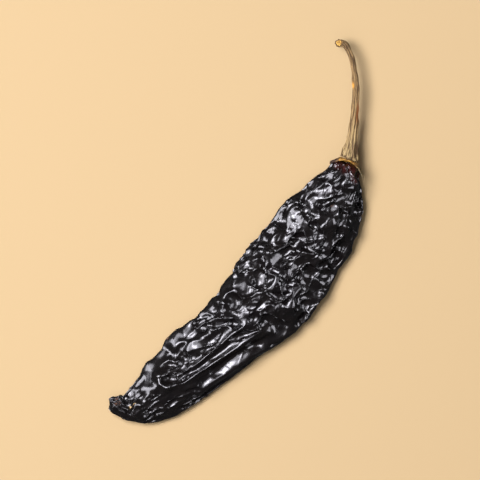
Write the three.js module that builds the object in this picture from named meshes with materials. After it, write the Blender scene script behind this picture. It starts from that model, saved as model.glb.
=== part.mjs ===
// A dried long chilli pepper, lying flat: the shrivelled black pod, the dry calyx on its shoulder
// and the woody stem with its hooked, cut end. Millimetres, +Z up. +X runs from the pod's tip to
// the stem along the longest extent, the surface it lies on is Z = 0, and the origin is the middle
// of the footprint.
import * as THREE from "three";

// Driving dimensions of the pod. Each rib crosses the pod from its left edge to its right edge, as
// seen from above: left x, left y, right x, right y, height of the underside, height of the top.
const RIBS = [
  [50.5, 3, 54.5, -9, 4, 14.5],
  [49, 2.5, 52, -10.5, 3, 16],
  [44, 3.5, 48.5, -15.5, 2, 17],
  [38, 5.5, 44, -20, 1.6, 17.5],
  [30, 7, 39, -22, 1.6, 17.5],
  [21.5, 8, 30.5, -23.5, 1.6, 17.5],
  [12, 8, 22, -26.5, 1.6, 17.5],
  [1, 9, 10.5, -28.5, 1.6, 17],
  [-8.5, 8.5, -2, -30, 1.6, 17],
  [-18, 7.5, -13.5, -30.5, 1.6, 16.5],
  [-27.5, 7, -23.5, -28.5, 1.6, 15.5],
  [-35, 7, -32.5, -25.5, 1.6, 14.5],
  [-44, 8.5, -42.5, -22.5, 1.6, 13.5],
  [-54, 11.5, -51, -20.5, 1.6, 13],
  [-63.5, 11, -60, -18, 1.6, 12.5],
  [-71.5, 12.5, -66.5, -16, 1.6, 12],
  [-78, 12, -75, -12.5, 1.6, 11.5],
  [-83, 12, -82, -9.5, 1.6, 11],
  [-86.5, 12, -89.5, -4, 2, 10.5],
  [-88, 13.5, -93.5, 4, 3, 10],
  [-89.5, 14.5, -95, 10, 4, 9.5],
];
const WIDEST_AT = 0.28; // share of the height at which a section is widest
// A section's side edges are thin. These powers bend it across, above its widest line and below it.
const BEND = { across: 0.9, above: 1.7, below: 1 };
const EDGE_POWER = 1.8; // how quickly a section's side edges begin
const CAP = 3; // length of the rounded end past the first and the last rib
const CAP_SHARE = 0.85; // share of the cap that has rows, the rest closes on a pole
const SEATS = [[36, -5], [-8, -23], [-58, 0]]; // middles of the low spots that the pod rests on
const SEAT_FLAT = 3.2; // radius of each flat spot
const SEAT_FADE = 9; // radius at which the underside is back at its own height
const CLEARANCE = 0.4; // least height of the underside away from the low spots
const SEAT_REACH = 7; // height above which the low spots leave the skin as it is
const SEAT_BLEND = 2.5;

// The skin is a lattice of equal triangles wound round the pod: ROWS along it, COLS round it.
const ROWS = 100;
const COLS = 52;
const RING_SAMPLES = 240;
const STEPS_PER_RIB = 100; // steps along the middle line from one rib to the next
const SLANT_ROUND = Math.cos(Math.PI / 3); // share of a slanting fibre that goes round the pod
const SLANT_ALONG = Math.sin(Math.PI / 3);
const END_FADE = 4; // rows at either end over which the wrinkles start

// The skin shrivels in two rounds, coarse folds first. It is too large for its shape by `grow`, so it
// sinks into hollows with sharp ridges between them, held by `hold`, kept smooth by `bend` and kept
// from rising by `outside`. `calm` is how much less of this there is along the pod's thin side
// edges, and `edge` is where that starts, from 0 to 1.
const FOLDS = {
  grow: 0.12,
  hold: 0.03,
  bend: 0.19,
  outside: 0.25,
  steps: 260,
  wave: 9,
  start: 0.5,
  calm: 0.85,
  edge: 0.6,
};
const WRINKLES = {
  grow: 0.2,
  hold: 0.035,
  bend: 0.19,
  outside: 0.25,
  steps: 240,
  wave: 5,
  start: 0.4,
  calm: 0.85,
  edge: 0.68,
};
const SLACK = 0.3; // how far the hold along the skin is weaker than the hold across it
const DAMPING = 0.88;
const TIME_STEP = 0.2;
const ROUGH = 0.136; // random share of each fibre's length
const EVEN_GROWTH = 0.85; // share of the growth where no direction is favoured
const FAVOUR = 0.35; // how far the growth favours one direction, in patches
const HOLLOWS = { wave: 26, depth: 0.3 }; // broad dents in the flesh
const SWELL = 0.6; // how far the skin is outside the ribs before it shrivels
const SEEDS = { hollows: 5, folds: 11, wrinkles: 12, rumples: 31, knots: 41 };
const PATCHES = 22; // wavelength over which the direction of the wrinkles changes
// The lower part of the right side has folds that run along the pod: below this x, over this
// distance, and to the right of this y.
const LENGTHWAYS = { below: -20, over: 15, rightOf: -2, blend: 8, amount: 0.8 };

// Long ridges and grooves of the upper side: a line of x, y points, half width, height, and how
// smooth the skin is on them, from 0 to 1.
const CREASES = [
  {
    line: [[-17, -29.8], [-28.9, -25.9], [-37.8, -21.7], [-46, -19.2], [-55.6, -16.2], [-64.5, -14]],
    half: 1.7, rise: 1.8, smooth: 0.7,
  },
  {
    line: [[-21.5, -26], [-31.6, -21], [-41.4, -16.8], [-51.8, -14], [-61.8, -11]],
    half: 1.3, rise: -1.5, smooth: 0.5,
  },
  {
    line: [[-26.4, -18.4], [-37.6, -14.8], [-46.9, -11.6], [-57.8, -8], [-67.7, -4.9]],
    half: 1.2, rise: 1.2, smooth: 0.6,
  },
  {
    line: [[-27.9, -15.1], [-38.7, -11.6], [-49.6, -9], [-60.8, -5.2]],
    half: 1, rise: -1, smooth: 0.5,
  },
  {
    line: [[-29.5, -10.8], [-42.4, -7.6], [-53.2, -5.5], [-62.6, -2.6]],
    half: 1.2, rise: 1, smooth: 0.6,
  },
  { line: [[-52, -20.6], [-57.5, -18.8], [-66.3, -16.6]], half: 1, rise: -1, smooth: 0.3 },
  {
    line: [[36.5, -16.7], [29, -21.4], [22.6, -20.3], [16.4, -21.8], [10.6, -18.5]],
    half: 1.3, rise: 1.1, smooth: 0.3,
  },
  { line: [[14.6, -26.6], [9.4, -22.8], [3.8, -22.7], [-1.3, -23.4]], half: 1.2, rise: 1, smooth: 0.3 },
  { line: [[6.2, 7.1], [0.4, 5.9], [-5.2, 6]], half: 1.3, rise: 0.8, smooth: 0.4 },
  { line: [[-69.1, 6.3], [-72.7, 2.3], [-72, -1.5], [-67.2, -3.3]], half: 1.4, rise: 1.3, smooth: 0.6 },
  { line: [[-62.7, 10.2], [-71.3, 9.1], [-76.7, 6]], half: 2.4, rise: -1.3, smooth: 0.9 },
  { line: [[-36.5, 7.8], [-45.3, 9.3], [-55, 11]], half: 1.6, rise: 0.9, smooth: 0.7 },
  { line: [[-38, 3.2], [-47.2, 4.6], [-57, 5.4]], half: 1.2, rise: -1, smooth: 0.4 },
];
const CREASE_SPREAD = 1.6; // how far the smooth skin of a crease reaches, in half widths
const CREASE_TIP = 0.04; // share of a crease that is cut off at either end, so that it ends bluntly
const TOP_SLOPE = 3; // how soon a crease fades as the skin turns away from +Z

// Places where the skin is smooth: x, y, radius, amount.
const SMOOTH_SPOTS = [
  [-71, 8.5, 5.5, 0.9],
  [-45.5, 6.5, 4.5, 0.75],
  [-49, 0.5, 5, 0.6],
  [-56, 8, 4.5, 0.6],
  [-22, 4, 4, 0.5],
  [2, 3, 4, 0.4],
  [24, -2, 4, 0.4],
  [-6, -18, 4, 0.4],
  [-92, -1.5, 5, 0.9],
  [-18, 8.5, 4, 0.6],
];

// Driving dimensions of the calyx, a thin dry cap on the pod's shoulder. Its slopes are given towards
// the left, the right and the top. A lobe of its rim lies at an angle from the right towards +Z, and
// reaches that far past the rim's least radius.
const CALYX_AT = [55.9, -2.6, 9.3]; // middle of its flat crown
const CALYX_TURN = THREE.MathUtils.degToRad(17); // from +X towards +Y
const CROWN = 4.3;
const CAP_RADIUS = 5.1;
const CAP_SLOPE = { left: 1, right: 1.15, top: 0.2 };
const CAP_THICK = 0.5;
const CAP_SIDES = 45;
// Each layer of the calyx is how far it lies under the top, in thicknesses, and its share of the
// rim's radius.
const CAP_LAYERS = [
  [0, 0.25],
  [0, 0.5],
  [0, 0.68],
  [0, 0.8],
  [0, 0.9],
  [0, 0.97],
  [0.5, 1],
  [1, 0.95],
  [1, 0.75],
  [1, 0.5],
  [1, 0.25],
];
const RUMPLES = { wave: 4, height: 0.14, from: 0.9 }; // of the calyx past its crown
const LOBES = [
  { angle: 0, reach: 3.6, width: 0.75 },
  { angle: 3.05, reach: 2.6, width: 0.55 },
  { angle: 1.05, reach: 0.35, width: 0.4 },
  { angle: 1.95, reach: 0.5, width: 0.4 },
  { angle: 4.2, reach: 1.4, width: 0.5 },
  { angle: 5.2, reach: 1.6, width: 0.5 },
];
const GAP = 0.35; // between the pod, the calyx and the stem
const UNDER = 0.5; // least thickness of air and fibre between the calyx and the pod's skin
const TUCK = 0.8; // reach past the calyx's rim over which the pod's skin comes up again
const TUCK_SLOPE = 1.2; // how steeply it comes up
const TUCK_REACH = { rims: 2, behind: 20 }; // part of the pod that is tucked under

// Middle x, y, z and radius of the stem, from the calyx to the cut end.
const STEM = [
  [56.2, -2.5, 9.4, 4.1],
  [58.3, -1.2, 9.5, 3.6],
  [62.4, 1.2, 9.6, 2.6],
  [68.3, 4.8, 9.8, 1.95],
  [73.9, 8.5, 10, 1.65],
  [79.2, 12, 10.2, 1.5],
  [83.4, 15.4, 10.4, 1.4],
  [87.8, 19.6, 10.5, 1.25],
  [91.6, 23.9, 10.5, 1.15],
  [93.9, 27.7, 10.4, 1.2],
  [94.6, 30.5, 10.3, 1.35],
  [93.6, 32.7, 10.2, 1.6],
];
// The cut end leans back by this slope, which comes in over this many table rows.
const CUT = { slant: 1, over: 2.5 };
const STEM_RINGS = 42;
const STEM_SIDES = 24;
const FLUTES = { count: 8, depth: 0.06, twist: 2.2, broadCount: 3, broadDepth: 0.03 };
const KNOTS = { wave: 5, depth: 0.05 };
const PITH = { share: 0.55, floor: 0.33, lip: 0.1, sunk: 0.5 }; // hollow of the cut end
const STEM_STEP = 0.05; // part of a table row over which the stem's direction is measured
const STEM_FOOT = 2; // table rows over which the stem turns from the calyx's axis to its own

// Brings the middle of the footprint to the origin.
const SHIFT = [0, -0.9, 0];

const COLOURS = { pod: 0x1a1416, calyx: 0x6b3a1e, stem: 0x8a7355 };

// Repeatable random numbers from 0 to 1.
function randomFrom(seed) {
  let state = seed;
  return () => {
    state = (Math.imul(state, 1664525) + 1013904223) >>> 0;
    return state / 4294967296;
  };
}

// A number from 0 to 1 that depends on a cell of the lattice alone.
function scatter(i, j, k) {
  const s = Math.sin(i * 12.9898 + j * 78.233 + k * 37.719) * 43758.5453;
  return s - Math.floor(s);
}

// Smooth noise of one wavelength: a sum of plane waves in random directions, with a spread of 1.
function waves(length, random, count = 40) {
  const set = [];
  for (let n = 0; n < count; n++) {
    const turn = 2 * Math.PI * random();
    const rise = 2 * random() - 1;
    const flat = Math.sqrt(1 - rise * rise);
    const k = (2 * Math.PI) / (length * (0.65 + 0.7 * random()));
    const phase = 2 * Math.PI * random();
    set.push([k * flat * Math.cos(turn), k * flat * Math.sin(turn), k * rise, phase]);
  }
  const scale = 1 / Math.sqrt(count / 2);
  return ([x, y, z]) =>
    scale * set.reduce((sum, [kx, ky, kz, phase]) => sum + Math.sin(kx * x + ky * y + kz * z + phase), 0);
}

// A row of numbers between the rows of a table, on a smooth curve through them.
function between(rows, t) {
  const last = rows.length - 1;
  const i = Math.min(Math.max(Math.floor(t), 0), last - 1);
  const f = t - i;
  const [a, b, c, d] = [rows[Math.max(i - 1, 0)], rows[i], rows[i + 1], rows[Math.min(i + 2, last)]];
  return b.map(
    (_, n) =>
      0.5 *
      (2 * b[n] +
        (c[n] - a[n]) * f +
        (2 * a[n] - 5 * b[n] + 4 * c[n] - d[n]) * f * f +
        (3 * b[n] - a[n] - 3 * c[n] + d[n]) * f * f * f),
  );
}

const signedPower = (v, e) => Math.sign(v) * Math.abs(v) ** e;
const clamp = (t) => Math.min(Math.max(t, 0), 1);
const smoothStep = (t) => clamp(t) ** 2 * (3 - 2 * clamp(t));
const middleOf = (row) => [(row[0] + row[2]) / 2, (row[1] + row[3]) / 2];

// The flesh without wrinkles, as lattice[row][col] = [x, y, z, edge], where edge is how near the
// point is to a side edge, from 0 to 1.
function plainPod() {
  const table = [];
  let length = 0;
  const steps = STEPS_PER_RIB * (RIBS.length - 1);
  for (let n = 0; n <= steps; n++) {
    const t = (n / steps) * (RIBS.length - 1);
    const [x, y] = middleOf(between(RIBS, t));
    if (n) length += Math.hypot(x - table[n - 1].x, y - table[n - 1].y);
    table.push({ t, x, y, length });
  }
  const ribAt = (d) => table.find((row) => row.length >= d)?.t ?? RIBS.length - 1;
  const direction = (a, b) => {
    const size = Math.hypot(a.x - b.x, a.y - b.y);
    return [(a.x - b.x) / size, (a.y - b.y) / size];
  };
  const stemWay = direction(table[0], table[STEPS_PER_RIB]);
  const tipWay = direction(table[steps], table[steps - STEPS_PER_RIB]);
  const lattice = [];
  for (let i = 0; i < ROWS; i++) {
    const reach = CAP * CAP_SHARE;
    const d = (i / (ROWS - 1)) * (length + 2 * reach) - reach;
    const past = d < 0 ? -d : Math.max(d - length, 0);
    lattice.push(podRing(between(RIBS, ribAt(d)), i, past, d < 0 ? stemWay : tipWay));
  }
  return lattice;
}

// One closed section, its points spread evenly and shifted half a step for each row.
function podRing(row, i, past, way) {
  const [lx, ly, rx, ry, low, high] = row;
  const shrink = Math.sqrt(1 - (past / CAP) ** 2);
  const [mx, my] = middleOf(row);
  const wide = low + WIDEST_AT * (high - low);
  const outline = [];
  let around = 0;
  for (let n = 0; n <= RING_SAMPLES; n++) {
    const angle = (2 * Math.PI * n) / RING_SAMPLES;
    const side = Math.cos(angle);
    const across = 0.5 * shrink * signedPower(side, BEND.across);
    const up = Math.sin(angle);
    const above = (high - wide) * up ** BEND.above;
    const rise = up > 0 ? above : (wide - low) * signedPower(up, BEND.below);
    const x = mx + across * (rx - lx) + way[0] * past;
    const y = my + across * (ry - ly) + way[1] * past;
    const z = wide + rise * shrink;
    const last = outline[n - 1];
    if (last) around += Math.hypot(x - last.x, y - last.y, z - last.z);
    outline.push({ x, y, z, around, edge: Math.abs(side) ** EDGE_POWER });
  }
  const ring = [];
  for (let j = 0; j < COLS; j++) {
    const want = (((j + i / 2) / COLS) % 1) * around;
    const n = Math.max(outline.findIndex((p) => p.around > want), 1);
    const [a, b] = [outline[n - 1], outline[n]];
    const f = (want - a.around) / (b.around - a.around);
    ring.push([a.x + f * (b.x - a.x), a.y + f * (b.y - a.y), a.z + f * (b.z - a.z), b.edge]);
  }
  return ring;
}

const minus = (a, b) => [a[0] - b[0], a[1] - b[1], a[2] - b[2]];
const plus = (a, b, f = 1) => [a[0] + f * b[0], a[1] + f * b[1], a[2] + f * b[2]];
const dot = (a, b) => a[0] * b[0] + a[1] * b[1] + a[2] * b[2];
const cross = (a, b) => [
  a[1] * b[2] - a[2] * b[1],
  a[2] * b[0] - a[0] * b[2],
  a[0] * b[1] - a[1] * b[0],
];
const unit = (a) => {
  const size = Math.hypot(...a) || 1;
  return [a[0] / size, a[1] / size, a[2] / size];
};

// The point of a lattice at row i and column j. Rows stop at the ends, columns go round.
function at(lattice, i, j) {
  const row = lattice[Math.min(Math.max(i, 0), lattice.length - 1)];
  return row[((j % row.length) + row.length) % row.length];
}

const mapLattice = (lattice, change) => lattice.map((row, i) => row.map((p, j) => change(p, i, j)));

// Unit normals that point out of the pod.
function outwards(lattice) {
  return mapLattice(lattice, (_, i, j) => {
    const round = minus(at(lattice, i, j + 1), at(lattice, i, j - 1));
    const ahead = plus(at(lattice, i + 1, j), at(lattice, i + 1, j - 1));
    const behind = plus(at(lattice, i - 1, j), at(lattice, i - 1, j + 1));
    return unit(cross(round, minus(ahead, behind)));
  });
}

// The average of a lattice point's six neighbours, less the point itself.
function curl(lattice, i, j) {
  const sum = [0, 0, 0];
  for (const [di, dj] of [[1, 0], [-1, 0], [0, 1], [0, -1], [1, -1], [-1, 1]]) {
    const p = at(lattice, i + di, j + dj);
    for (let n = 0; n < 3; n++) sum[n] += p[n] / 6;
  }
  return minus(sum, lattice[i][j]);
}

// How much less the skin wrinkles at a point: at the side edges, along smooth folds and on smooth
// spots.
function stiffness([x, y], edge, how) {
  let calm = how.calm * smoothStep((edge - how.edge) / (1 - how.edge));
  for (const { line, half, smooth } of CREASES) {
    const { away } = nearLine(x, y, line);
    calm = Math.max(calm, smooth * Math.exp(-((away / (CREASE_SPREAD * half)) ** 2)));
  }
  for (const [spotX, spotY, radius, amount] of SMOOTH_SPOTS) {
    const away = Math.hypot(x - spotX, y - spotY);
    calm = Math.max(calm, amount * Math.exp(-((away / radius) ** 4)));
  }
  return calm;
}

// Shrivels a skin that is too large for its shape.
function shrivel(flesh, edge, how, seed) {
  const random = randomFrom(seed);
  const noise = waves(how.wave, random);
  const turn = waves(PATCHES, random);
  const out = outwards(flesh);
  const rows = flesh.length;
  const fade = mapLattice(flesh, (_, i, j) => {
    const end = Math.min(1, Math.min(i, rows - 1 - i) / ((END_FADE * rows) / ROWS));
    return end * (1 - stiffness(flesh[i][j], edge[i][j][0], how));
  });
  const skin = mapLattice(flesh, (p, i, j) => plus(p, out[i][j], how.start * fade[i][j] * noise(p)));
  const fibres = [[1, 0], [0, 1], [1, -1]].map(([di, dj], k) => ({
    di,
    dj,
    rest: mapLattice(flesh, (p, i, j) => {
      const bias = FAVOUR * turn(p) + lengthways(p);
      const along = 1 + how.grow * fade[i][j] * Math.max(EVEN_GROWTH + bias, 0);
      const round = 1 + how.grow * fade[i][j] * Math.max(EVEN_GROWTH - bias, 0);
      const grow = di ? Math.hypot(SLANT_ROUND * round, SLANT_ALONG * along) : round;
      const length = Math.hypot(...minus(at(flesh, i + di, j + dj), p));
      return length * grow * (1 + ROUGH * (scatter(i, j, k + seed) - 0.5));
    }),
  }));
  const speed = mapLattice(flesh, () => [0, 0, 0]);
  for (let step = 0; step < how.steps; step++) {
    const force = mapLattice(flesh, () => [0, 0, 0]);
    for (const { di, dj, rest } of fibres)
      for (let i = 0; i < rows - di; i++)
        for (let j = 0; j < skin[i].length; j++) {
          const d = minus(at(skin, i + di, j + dj), skin[i][j]);
          const pull = 1 - rest[i][j] / Math.max(Math.hypot(...d), 1e-6);
          const other = at(force, i + di, j + dj);
          for (let n = 0; n < 3; n++) {
            force[i][j][n] += pull * d[n];
            other[n] -= pull * d[n];
          }
        }
    const lift = mapLattice(skin, (p, i, j) => minus(p, flesh[i][j]));
    const bent = mapLattice(lift, (_, i, j) => curl(lift, i, j));
    for (let i = 1; i < rows - 1; i++)
      for (let j = 0; j < skin[i].length; j++) {
        const away = dot(lift[i][j], out[i][j]);
        const stiff = curl(bent, i, j);
        for (let n = 0; n < 3; n++) {
          const across = away * out[i][j][n];
          let f = force[i][j][n] - how.bend * stiff[n];
          f -= (how.hold + (away > 0 ? how.outside : 0)) * across;
          f -= SLACK * how.hold * (lift[i][j][n] - across);
          speed[i][j][n] = DAMPING * speed[i][j][n] + TIME_STEP * f;
          skin[i][j][n] += speed[i][j][n];
        }
      }
  }
  return skin;
}

// Below zero where the folds run along the pod: there the skin is too large round the pod and not
// along it.
function lengthways([x, y]) {
  const low = smoothStep((LENGTHWAYS.below - x) / LENGTHWAYS.over);
  const right = smoothStep((LENGTHWAYS.rightOf - y) / LENGTHWAYS.blend);
  return -LENGTHWAYS.amount * low * right;
}

// Twice as many rows and columns, on smooth curves through the ones there are.
function finer(lattice) {
  const half = (a, b, c, d) => b.map((_, n) => (9 * (b[n] + c[n]) - a[n] - d[n]) / 16);
  const rows = [];
  lattice.forEach((row, i) => {
    rows.push(row);
    if (i + 1 < lattice.length)
      rows.push(
        row.map((p, j) => half(at(lattice, i - 1, j), p, at(lattice, i + 1, j), at(lattice, i + 2, j))),
      );
  });
  return rows.map((row, i) =>
    row.flatMap((p, j) => [p, half(at(rows, i, j - 1), p, at(rows, i, j + 1), at(rows, i, j + 2))]),
  );
}

// Distance from x, y to a line of points, and how far along the line the nearest place is.
function nearLine(x, y, line) {
  let best = { away: Infinity, share: 0 };
  for (let n = 0; n + 1 < line.length; n++) {
    const [x0, y0] = line[n];
    const [dx, dy] = [line[n + 1][0] - x0, line[n + 1][1] - y0];
    const f = Math.min(Math.max(((x - x0) * dx + (y - y0) * dy) / (dx * dx + dy * dy), 0), 1);
    const away = Math.hypot(x - x0 - f * dx, y - y0 - f * dy);
    if (away < best.away) best = { away, share: (n + f) / (line.length - 1) };
  }
  return best;
}

// Raises the long ridges and sinks the grooves of the upper side.
function crease(lattice) {
  const out = outwards(lattice);
  return mapLattice(lattice, (p, i, j) => {
    let height = 0;
    for (const { line, half, rise } of CREASES) {
      const { away, share } = nearLine(p[0], p[1], line);
      const taper = Math.sqrt(Math.sin(Math.PI * (CREASE_TIP + (1 - 2 * CREASE_TIP) * share)));
      height += rise * taper * Math.exp(-((away / half) ** 2));
    }
    return plus(p, out[i][j], height * smoothStep(out[i][j][2] * TOP_SLOPE));
  });
}

// Axes of the calyx: `ahead` along the stem, `aside` to the right, and +Z.
const AHEAD = [Math.cos(CALYX_TURN), Math.sin(CALYX_TURN), 0];
const ASIDE = [Math.sin(CALYX_TURN), -Math.cos(CALYX_TURN), 0];

// A value between those for the left, the right and the top, at an angle from the right to +Z.
function aroundCap({ left, right, top }, angle) {
  const side = Math.cos(angle) > 0 ? right : left;
  return Math.hypot(side * Math.cos(angle), top * Math.sin(angle));
}

// Radius of the calyx's rim at an angle from the right to +Z.
function rimAt(angle) {
  const lobe = ({ angle: middle, reach, width }) => {
    const apart = angle - middle;
    const off = apart - 2 * Math.PI * Math.round(apart / (2 * Math.PI));
    return reach * Math.exp(-((off / width) ** 2));
  };
  return LOBES.reduce((radius, each) => radius + lobe(each), CAP_RADIUS);
}

// How far the calyx has dropped behind its crown, at a radius and an angle.
const dropAt = (radius, angle) => Math.max(radius - CROWN, 0) * aroundCap(CAP_SLOPE, angle);

// Keeps the pod's shoulder under the calyx, with a gap between them.
function tuckUnder(lattice) {
  return mapLattice(lattice, (p) => {
    const d = minus(p, CALYX_AT);
    const [ahead, aside] = [dot(d, AHEAD), dot(d, ASIDE)];
    const angle = Math.atan2(d[2], aside);
    const radius = Math.hypot(aside, d[2]);
    const rim = rimAt(angle);
    const past = Math.max(radius - rim - TUCK, 0);
    const under = dropAt(Math.min(radius, rim), angle) + CAP_THICK + UNDER + GAP;
    const limit = TUCK_SLOPE * past - under;
    if (ahead < limit || radius > TUCK_REACH.rims * rim || ahead < -TUCK_REACH.behind) return p;
    return plus(p, AHEAD, limit - ahead);
  });
}

// Sets the pod down: flat on its three low spots, and clear of the surface elsewhere.
function setDown(lattice) {
  return mapLattice(lattice, ([x, y, z]) => {
    const near = Math.min(...SEATS.map(([sx, sy]) => Math.hypot(x - sx, y - sy)));
    const rise = smoothStep((near - SEAT_FLAT) / (SEAT_FADE - SEAT_FLAT));
    const lowered = Math.max(z, CLEARANCE) * rise;
    return [x, y, z + (lowered - z) * smoothStep((SEAT_REACH - z) / SEAT_BLEND)];
  });
}

// A closed geometry from rings of points that run round +X by the right-hand rule, with a pole
// at each end.
function skinOver(rings, firstPole, lastPole) {
  const count = rings[0].length;
  const points = [...rings.flat(), firstPole, lastPole];
  const faces = [];
  for (let i = 0; i + 1 < rings.length; i++)
    for (let j = 0; j < count; j++) {
      const [a, b] = [i * count + j, i * count + ((j + 1) % count)];
      faces.push(a, b, a + count, b, b + count, a + count);
    }
  const end = (rings.length - 1) * count;
  for (let j = 0; j < count; j++) {
    const next = (j + 1) % count;
    faces.push(points.length - 2, next, j);
    faces.push(points.length - 1, end + j, end + next);
  }
  const geometry = new THREE.BufferGeometry();
  geometry.setAttribute("position", new THREE.Float32BufferAttribute(points.flat(), 3));
  geometry.setIndex(faces);
  geometry.computeVertexNormals();
  return geometry;
}

// A point of the calyx, from its crown: ahead, and at a radius and an angle from the right to +Z.
const capPoint = (ahead, radius, angle) => {
  const middle = plus(CALYX_AT, AHEAD, ahead);
  const [x, y, z] = plus(middle, ASIDE, radius * Math.cos(angle));
  return [x, y, z + radius * Math.sin(angle)];
};

function calyxGeometry() {
  const ripple = waves(RUMPLES.wave, randomFrom(SEEDS.rumples));
  const rings = [];
  for (const [under, share] of CAP_LAYERS) {
    const ring = [];
    for (let n = 0; n < CAP_SIDES; n++) {
      const angle = (2 * Math.PI * n) / CAP_SIDES;
      const radius = share * rimAt(angle);
      const flat = capPoint(0, radius, angle);
      const size = radius > CROWN ? RUMPLES.height * clamp(radius / CROWN - RUMPLES.from) : 0;
      ring.push(plus(flat, AHEAD, size * ripple(flat) - dropAt(radius, angle) - under * CAP_THICK));
    }
    rings.push(ring);
  }
  return skinOver(rings, CALYX_AT, plus(CALYX_AT, AHEAD, -CAP_THICK));
}

function stemGeometry() {
  const knots = waves(KNOTS.wave, randomFrom(SEEDS.knots));
  const rings = [];
  const steps = STEM.length - 1;
  for (let i = 0; i < STEM_RINGS; i++) {
    const t = (i / (STEM_RINGS - 1)) * steps;
    const [x, y, z, radius] = between(STEM, t);
    const here = between(STEM, Math.max(t - STEM_STEP, 0));
    const there = between(STEM, Math.min(t + STEM_STEP, steps));
    const bend = smoothStep(t / STEM_FOOT);
    const run = unit(minus(there.slice(0, 3), here.slice(0, 3)));
    const way = unit(plus(AHEAD, minus(run, AHEAD), bend));
    const up = unit(plus([0, 0, 1], way, -way[2]));
    const right = cross(up, way);
    const lean = CUT.slant * smoothStep((t - steps + CUT.over) / CUT.over);
    const ring = [];
    for (let n = 0; n < STEM_SIDES; n++) {
      const angle = (2 * Math.PI * n) / STEM_SIDES;
      const middle = [x, y, z];
      const p = plus(plus(middle, right, radius * Math.cos(angle)), up, radius * Math.sin(angle));
      const flute = FLUTES.depth * Math.cos(FLUTES.count * angle + FLUTES.twist * Math.sin(t));
      const broad = FLUTES.broadDepth * Math.cos(FLUTES.broadCount * angle + t);
      const size = radius * (1 + flute + broad + KNOTS.depth * knots(p));
      const [across, above] = [size * Math.cos(angle), size * Math.sin(angle)];
      ring.push(plus(plus(plus(middle, right, across), up, above), way, -lean * above));
    }
    rings.push(ring);
  }
  const first = rings[0].map((p) => plus(p, AHEAD, -dot(minus(p, capPoint(GAP, 0, 0)), AHEAD)));
  rings[0] = first;
  const end = rings[STEM_RINGS - 1];
  const middle = averageOf(end);
  const run = unit(minus(middle, averageOf(rings[STEM_RINGS - 3])));
  rings.push(end.map((p) => plus(plus(middle, minus(p, middle), PITH.share), run, -PITH.lip)));
  rings.push(end.map((p) => plus(plus(middle, minus(p, middle), PITH.floor), run, -PITH.sunk)));
  return skinOver(rings, averageOf(first), plus(middle, run, -PITH.sunk));
}

const averageOf = (ring) => ring.reduce((sum, p) => plus(sum, p, 1 / ring.length), [0, 0, 0]);

function podGeometry() {
  const hollow = waves(HOLLOWS.wave, randomFrom(SEEDS.hollows));
  const plain = plainPod();
  const edge = mapLattice(plain, (p) => [p[3]]);
  const out = outwards(plain);
  const flesh = mapLattice(plain, (p, i, j) => plus(p, out[i][j], SWELL + HOLLOWS.depth * hollow(p)));
  const folded = crease(finer(shrivel(flesh, edge, FOLDS, SEEDS.folds)));
  const wrinkled = shrivel(folded, finer(edge), WRINKLES, SEEDS.wrinkles);
  const kept = wrinkled.filter((_, i) => i % 2 === 0).map((row) => row.filter((_, j) => j % 2 === 0));
  const rings = tuckUnder(setDown(kept));
  return skinOver(rings, averageOf(rings[0]), averageOf(rings[ROWS - 1]));
}

const material = (name, colour, roughness) =>
  new THREE.MeshStandardMaterial({ name, color: colour, roughness, metalness: 0 });

function piece(name, geometry, coat) {
  geometry.translate(...SHIFT);
  const mesh = new THREE.Mesh(geometry, coat);
  mesh.name = name;
  return mesh;
}

const pepper = new THREE.Group();
pepper.add(piece("pod", podGeometry(), material("pod_skin", COLOURS.pod, 0.28)));
pepper.add(piece("calyx", calyxGeometry(), material("calyx_skin", COLOURS.calyx, 0.6)));
pepper.add(piece("stem", stemGeometry(), material("stem_bark", COLOURS.stem, 0.8)));
export default pepper;
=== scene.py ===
# A dried long chilli pepper on a pale warm surface, seen from straight above.
import math

import bpy
import numpy as np
from mathutils import Matrix, Vector


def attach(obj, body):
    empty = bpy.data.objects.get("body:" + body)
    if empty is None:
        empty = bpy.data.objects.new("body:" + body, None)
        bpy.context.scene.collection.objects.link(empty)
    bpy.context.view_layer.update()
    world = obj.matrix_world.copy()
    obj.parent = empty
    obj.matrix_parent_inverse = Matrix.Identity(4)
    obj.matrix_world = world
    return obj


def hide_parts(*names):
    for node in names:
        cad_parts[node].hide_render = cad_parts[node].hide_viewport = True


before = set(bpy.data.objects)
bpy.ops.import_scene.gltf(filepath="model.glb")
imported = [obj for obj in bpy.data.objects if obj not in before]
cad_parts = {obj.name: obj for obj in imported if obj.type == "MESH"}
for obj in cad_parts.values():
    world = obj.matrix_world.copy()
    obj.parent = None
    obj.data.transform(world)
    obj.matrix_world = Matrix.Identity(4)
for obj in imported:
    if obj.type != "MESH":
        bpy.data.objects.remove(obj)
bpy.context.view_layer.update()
SCENE = bpy.context.scene
MM_PER_METRE = 1000

# The photo's frame: one pixel is this many millimetres on the floor, the row's +X points this far
# round from the picture's right, and the row's origin lies under this pixel.
MM_PER_PIXEL = 0.44
PICTURE_SIZE = 480
PICTURE_TURN = math.radians(52)
ORIGIN_PIXEL = (264.4, 255.7)
RIGHT = Vector((math.cos(PICTURE_TURN), -math.sin(PICTURE_TURN), 0))
UP = Vector((math.sin(PICTURE_TURN), math.cos(PICTURE_TURN), 0))

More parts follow.
